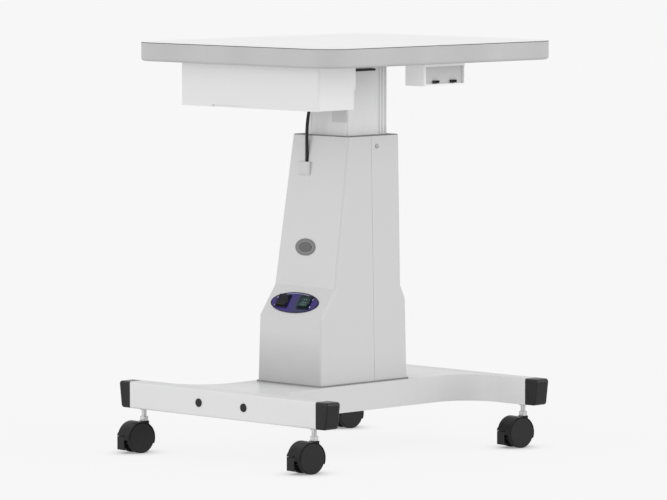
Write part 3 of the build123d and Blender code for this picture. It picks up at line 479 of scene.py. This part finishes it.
def make_floor(albedo, glow, cast, contact_shade=0.35, contact_reach=0.045, radius=60.0):
    """Pale floor, darker where the wheels touch it: it shows that glow to the camera and casts less."""
    material, tree, shader = new_material("studio_floor", Specular_IOR_Level=0.0,
                                          Emission_Color=grey(1.0))
    seen = add_node(tree, "LightPath").outputs["Is Camera Ray"]
    open_sky = add_node(tree, "AmbientOcclusion", {"Distance": contact_reach}, samples=12).outputs["AO"]
    contact = between(tree, open_sky, contact_shade, 1.0, start=0.2, stop=0.93)
    strength = calculate(tree, "MULTIPLY", between(tree, seen, cast, glow, start=0.0, stop=1.0), contact)
    link(tree, strength, shader, "Emission Strength")
    clouds = noise(tree, object_space(tree), scale=1.5)
    tone = tint(tree, clouds, grey(albedo * 0.997), grey(albedo))
    link(tree, tone, shader, "Base Color")
    link(tree, between(tree, noise(tree, object_space(tree), scale=30.0), 0.75, 0.85), shader, "Roughness")
    bpy.ops.mesh.primitive_circle_add(vertices=96, radius=radius, fill_type="NGON")
    floor = bpy.context.object
    floor.name = "studio_floor"
    floor.data.materials.append(material)


make_world(light=0.80, seen=0.93)
soft_sun("key", azimuth=-30.0, elevation=12.0, strength=0.42, spread=40.0)
soft_sun("fill", azimuth=120.0, elevation=18.0, strength=0.85, spread=50.0)
soft_sun("low", azimuth=0.0, elevation=3.0, strength=0.50, spread=26.0)
make_floor(albedo=0.10, glow=0.838, cast=0.585)
scene.view_settings.view_transform = "Standard"


# ---------------------------------------------------------------- pieces
def add_piece(name, data, material, body):
    """A new Blender piece that rides on a CAD body."""
    piece = bpy.data.objects.new(name, data)
    scene.collection.objects.link(piece)
    data.materials.append(material)
    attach(piece, body)
    return piece


def smooth_line(name, route, radius):
    """A round cable along a smooth line that has the route's points as its control points."""
    data = bpy.data.curves.new(name, "CURVE")
    data.dimensions = "3D"
    spline = data.splines.new("NURBS")
    spline.points.add(len(route) - 1)
    for point, place in zip(spline.points, route):
        point.co = (*place, 1.0)
    spline.order_u = 3
    spline.use_endpoint_u = True
    spline.resolution_u = 16
    data.bevel_depth = radius
    data.bevel_resolution = 6
    data.use_fill_caps = True
    return data


cord_diameter = 0.0054
cord_exit = (-0.0060, -0.0458, 0.6325)
cord_route = [
    cord_exit,
    (-0.0060, -0.0458, 0.5970),
    (-0.0243, -0.0438, 0.5470),
    (-0.0243, -0.0438, 0.4940),
    (-0.0243, -0.0438, 0.2400),
]
cable_jacket = rubber("cable_jacket", (0.014, 0.014, 0.015), 0.5)
cord_line = smooth_line("cord_run", cord_route, cord_diameter / 2)
cord = add_piece("cord_run", cord_line, cable_jacket, "lift")
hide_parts("cord")

screw_head_radius = 0.0038
screw_head_height = 0.0018
screw_head_profile = [                     # radius and height above the seat, from the rim inwards
    (screw_head_radius, 0.0),
    (screw_head_radius, 0.0009),
    (0.0034, 0.0014),
    (0.0026, screw_head_height),
]
screw_shank_radius = 0.0020
screw_shank_length = 0.0080
recess_depth = 0.0012
recess_arm = 0.00175
recess_half_slot = 0.00045
recess_narrowing = 0.8                     # of the cross, from its mouth to its floor
rear_screw_x = 0.0550
side_lean = 0.0212                         # how far the housing's sides lean in, per metre of height


def recess_radius(angle):
    """Outline of a cross recess with its arms along the axes."""
    off_arm = max(0.001, min(abs(math.sin(angle)), abs(math.cos(angle))))
    return min(recess_arm, recess_half_slot / off_arm)


def screw_into(mesh, place, outward, segments=24):
    """One pan-head screw with a cross recess, its head seated at place."""
    turn = outward.to_track_quat("Z", "Y").to_matrix().to_4x4()
    frame_of_head = Matrix.Translation(place) @ turn
    angles = [2.0 * math.pi * step / segments for step in range(segments)]
    outlines = [([radius] * segments, height)
                for radius, height in ((screw_shank_radius, -screw_shank_length),
                                       (screw_shank_radius, 0.0), *screw_head_profile)]
    for share, height in ((1.0, screw_head_height), (recess_narrowing, screw_head_height - recess_depth)):
        outlines.append(([share * recess_radius(angle) for angle in angles], height))
    loops = []
    for radii, height in outlines:
        points = [Vector((radius * math.cos(angle), radius * math.sin(angle), height))
                  for radius, angle in zip(radii, angles)]
        loops.append([mesh.verts.new(frame_of_head @ point) for point in points])
    for lower, upper in zip(loops, loops[1:]):
        for step in range(segments):
            following = (step + 1) % segments
            mesh.faces.new((lower[step], lower[following], upper[following], upper[step]))
    mesh.faces.new(list(reversed(loops[0])))
    mesh.faces.new(loops[-1])


screws_low, screws_high = (Vector(corner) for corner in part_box("housing_screws"))
side_place = Vector((screws_high.x - screw_head_height, screws_low.y + screw_head_radius,
                     screws_high.z - screw_head_radius))
rear_place = Vector((rear_screw_x, screws_high.y - screw_head_height, screws_low.z + screw_head_radius))
screw_mesh = bmesh.new()
for side in (-1.0, 1.0):
    flip = Vector((side, 1.0, 1.0))
    screw_into(screw_mesh, side_place * flip, Vector((side, 0.0, side_lean)).normalized())
    screw_into(screw_mesh, rear_place * flip, Vector((0.0, 1.0, 0.0)))
screw_data = bpy.data.meshes.new("housing_screw_heads")
screw_mesh.to_mesh(screw_data)
screw_mesh.free()
screw_plate = plated_steel("screw_plate", (0.50, 0.50, 0.51))
screws = add_piece("housing_screw_heads", screw_data, screw_plate, "base")
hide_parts("housing_screws")


# ---------------------------------------------------------------- finishes on the CAD nodes
def middle_of(name):
    box_low, box_high = (Vector(corner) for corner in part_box(name))
    return (box_low + box_high) / 2.0


plate_half_size = (0.0545, 0.0195)
badge_middle_half_size = (0.0150, 0.0086)
control_face_up = Vector((0.0, 33.8, 48.0)).normalized()         # how far back and up the face runs
upper_face_up = Vector((0.0, 38.0, 246.0)).normalized()
housing_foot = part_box("housing_front")[0].z
# height up to which the housing's coat carries painted shade
foot_shade_height = 0.085
outlet_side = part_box("outlet_box")[1].x
socket_panel_x = (outlet_side - 0.0045, outlet_side - 0.0035)      # the panel lies 4 mm in from the end

slot_finishes = {
    "white_steel": powder_coat("white_powder_coat", (0.775, 0.775, 0.78), 0.45, 0.12),
    "grey_housing": foot_shaded_coat("grey_powder_coat", (0.65, 0.65, 0.65), housing_foot,
                                housing_foot + foot_shade_height),
    "black_plastic": moulded_plastic("black_mould", (0.011, 0.011, 0.0115), 0.3, gloss=0.36),
    "black_rubber": rubber("black_rubber", (0.02, 0.02, 0.021), 0.62),
    "caster_nylon": moulded_plastic("caster_nylon", (0.0065, 0.0065, 0.007), 0.42, gloss=0.34),
    "zinc_steel": plated_steel("zinc_plate", (0.62, 0.62, 0.63)),
    "dark_steel": brushed_metal("dark_steel", (0.30, 0.30, 0.31), 0.42),
    "column_aluminium": brushed_metal("column_anodised", (0.83, 0.83, 0.835), 0.42, metallic=0.2),
    "bronze": brushed_metal("bronze", (0.52, 0.33, 0.12), 0.3),
    "pad_plastic": moulded_plastic("pad_plastic", (0.78, 0.78, 0.74), 0.42),
    "violet_panel": printed_panel("violet_panel", middle_of("panel_plate"), control_face_up,
                                  plate_half_size),
    "green_lens": dotted_lens("green_lens", (0.006, 0.036, 0.040), middle_of("power_rocker"),
                              control_face_up),
    "badge_grey": ringed_badge("badge_grey", middle_of("badge"), upper_face_up, badge_middle_half_size),
    "board_green": moulded_plastic("board_green", (0.01, 0.10, 0.04), 0.4),
    "laminate_white": laminate("laminate_white", (0.95, 0.95, 0.95), grey(0.11)),
    "band_grey": moulded_plastic("band_grey", (0.555, 0.555, 0.555), 0.58),
    "board_core": chipboard("chipboard"),
    "drawer_steel": powder_coat("drawer_powder_coat", (0.81, 0.81, 0.81), 0.4, 0.15),
    "light_plastic": moulded_plastic("light_mould", (0.67, 0.67, 0.67), 0.45),
}
node_finishes = {
    "lift_rocker": moulded_plastic("lift_rocker_mould", (0.004, 0.004, 0.011), 0.4, gloss=0.2),
    "switch_bezels": moulded_plastic("bezel_mould", (0.004, 0.004, 0.009), 0.4, gloss=0.2),
    "outlet_box": recess_shaded_coat("outlet_powder_coat", (0.94, 0.94, 0.94), *socket_panel_x),
    "cross_member": foot_shadowed_coat("cross_member_coat", (0.80, 0.80, 0.805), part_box("foot_gasket")),
    "index_plate": moulded_plastic("index_plate_mould", (0.68, 0.68, 0.68), 0.5),
    # painted light: the case is coated lighter than the drawer front, to offset the shade on its sides
    "drawer_case": powder_coat("case_powder_coat", (0.87, 0.87, 0.87), 0.4, 0.15),
    "top_seal": rubber("seal_rubber", (0.24, 0.24, 0.24), 0.6),
    "foot_gasket": rubber("gasket_rubber", (0.26, 0.26, 0.26), 0.6),
}
hood_finish = moulded_plastic("hood_mould", (0.0035, 0.0035, 0.0038), 0.34, gloss=0.26)
for corner in ("fl", "fr", "rl", "rr"):
    node_finishes[f"caster_{corner}_hood"] = hood_finish

slot_of = {part["node"]: part["material_slot"] for part in frame["record"]["subparts"]}
for name, item in nodes.items():
    item.data.materials.clear()
    item.data.materials.append(node_finishes.get(name, slot_finishes[slot_of[name]]))
